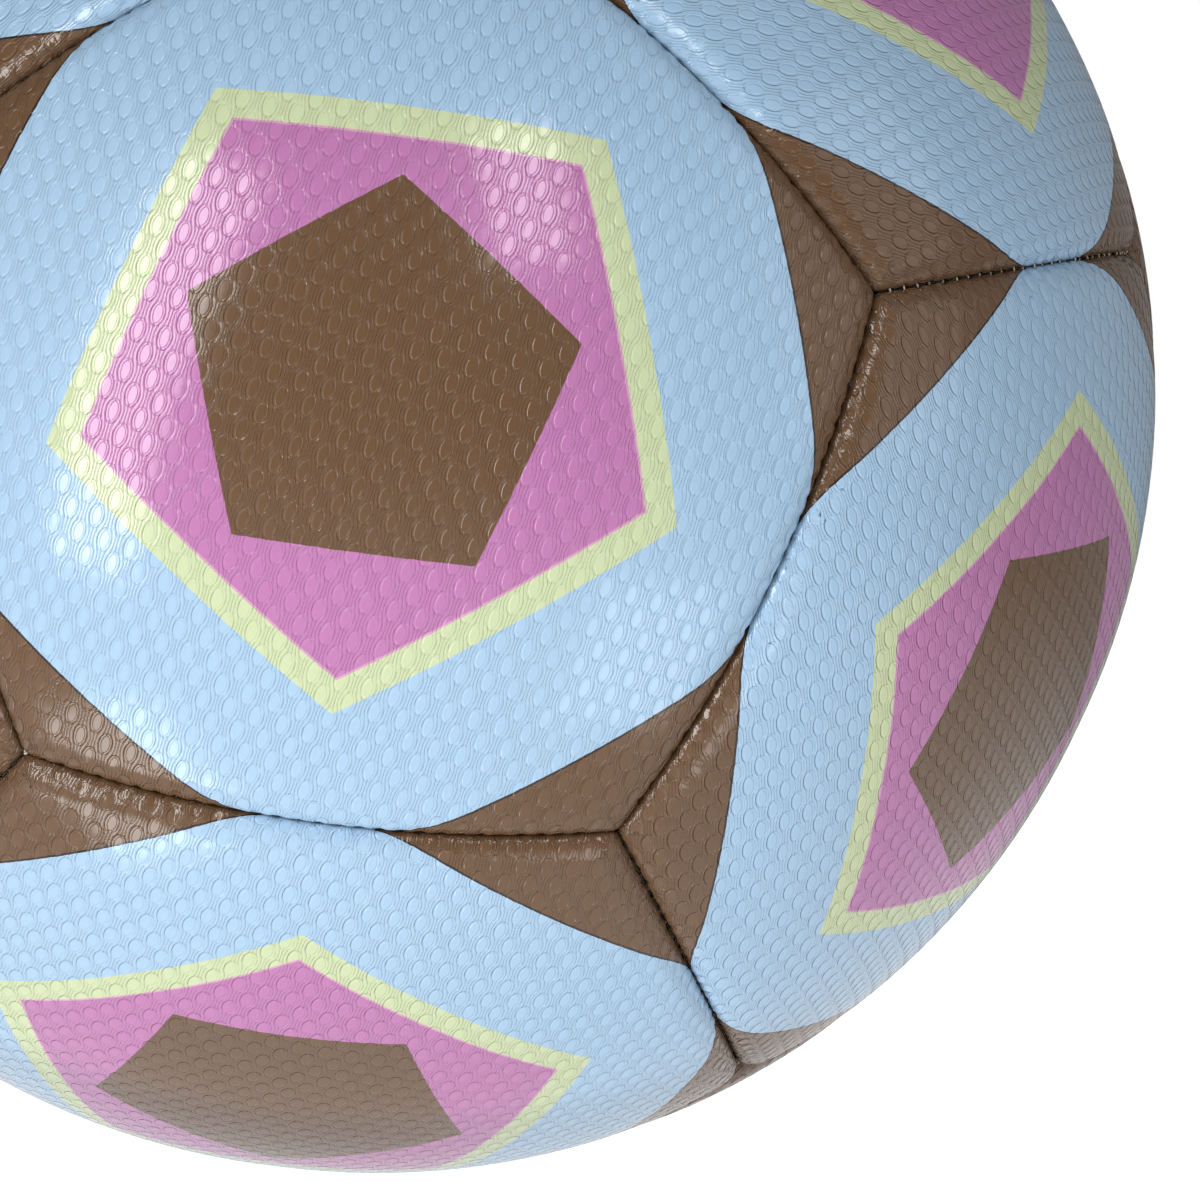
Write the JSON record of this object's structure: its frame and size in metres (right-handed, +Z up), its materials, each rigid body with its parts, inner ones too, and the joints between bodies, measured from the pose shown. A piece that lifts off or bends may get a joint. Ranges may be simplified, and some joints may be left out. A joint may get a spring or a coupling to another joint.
{
  "type": "futsal ball",
  "caption": "Machine-stitched futsal ball: embossed glossy pentagon panels with rolled, turned-in seams, foam and cloth backing, a felt-damped bladder and a needle valve.",
  "frame": {"origin": "centre of the ball", "axes": "+Y out of the valve, along its needle channel; -Y is the centre of the front panel; +Z up as in the picture"},
  "size_m": [0.202, 0.2019, 0.202],
  "materials": {
    "cover_skin": "embossed glossy TPU, printed",
    "foam_backing": "closed-cell foam",
    "cloth_lining": "glued cotton and polyester plies",
    "thread": "waxed polyester thread",
    "bladder_rubber": "butyl, matte",
    "felt": "needled felt",
    "valve_rubber": "moulded rubber, satin"
  },
  "bodies": {
    "root": {"cover_01": "cover_skin", "cover_02": "cover_skin", "cover_03": "cover_skin", "cover_04": "cover_skin", "cover_05": "cover_skin", "cover_06": "cover_skin", "cover_07": "cover_skin", "cover_08": "cover_skin", "cover_09": "cover_skin", "cover_10": "cover_skin", "cover_11": "cover_skin", "cover_12": "cover_skin", "foam_01": "foam_backing", "foam_02": "foam_backing", "foam_03": "foam_backing", "foam_04": "foam_backing", "foam_05": "foam_backing", "foam_06": "foam_backing", "foam_07": "foam_backing", "foam_08": "foam_backing", "foam_09": "foam_backing", "foam_10": "foam_backing", "foam_11": "foam_backing", "foam_12": "foam_backing", "lining_01": "cloth_lining", "lining_02": "cloth_lining", "lining_03": "cloth_lining", "lining_04": "cloth_lining", "lining_05": "cloth_lining", "lining_06": "cloth_lining", "lining_07": "cloth_lining", "lining_08": "cloth_lining", "lining_09": "cloth_lining", "lining_10": "cloth_lining", "lining_11": "cloth_lining", "lining_12": "cloth_lining", "seam_thread": "thread", "bladder": "bladder_rubber", "low_bounce_felt": "felt", "valve_housing": "valve_rubber", "valve_core": "valve_rubber"}
  },
  "joints": []
}
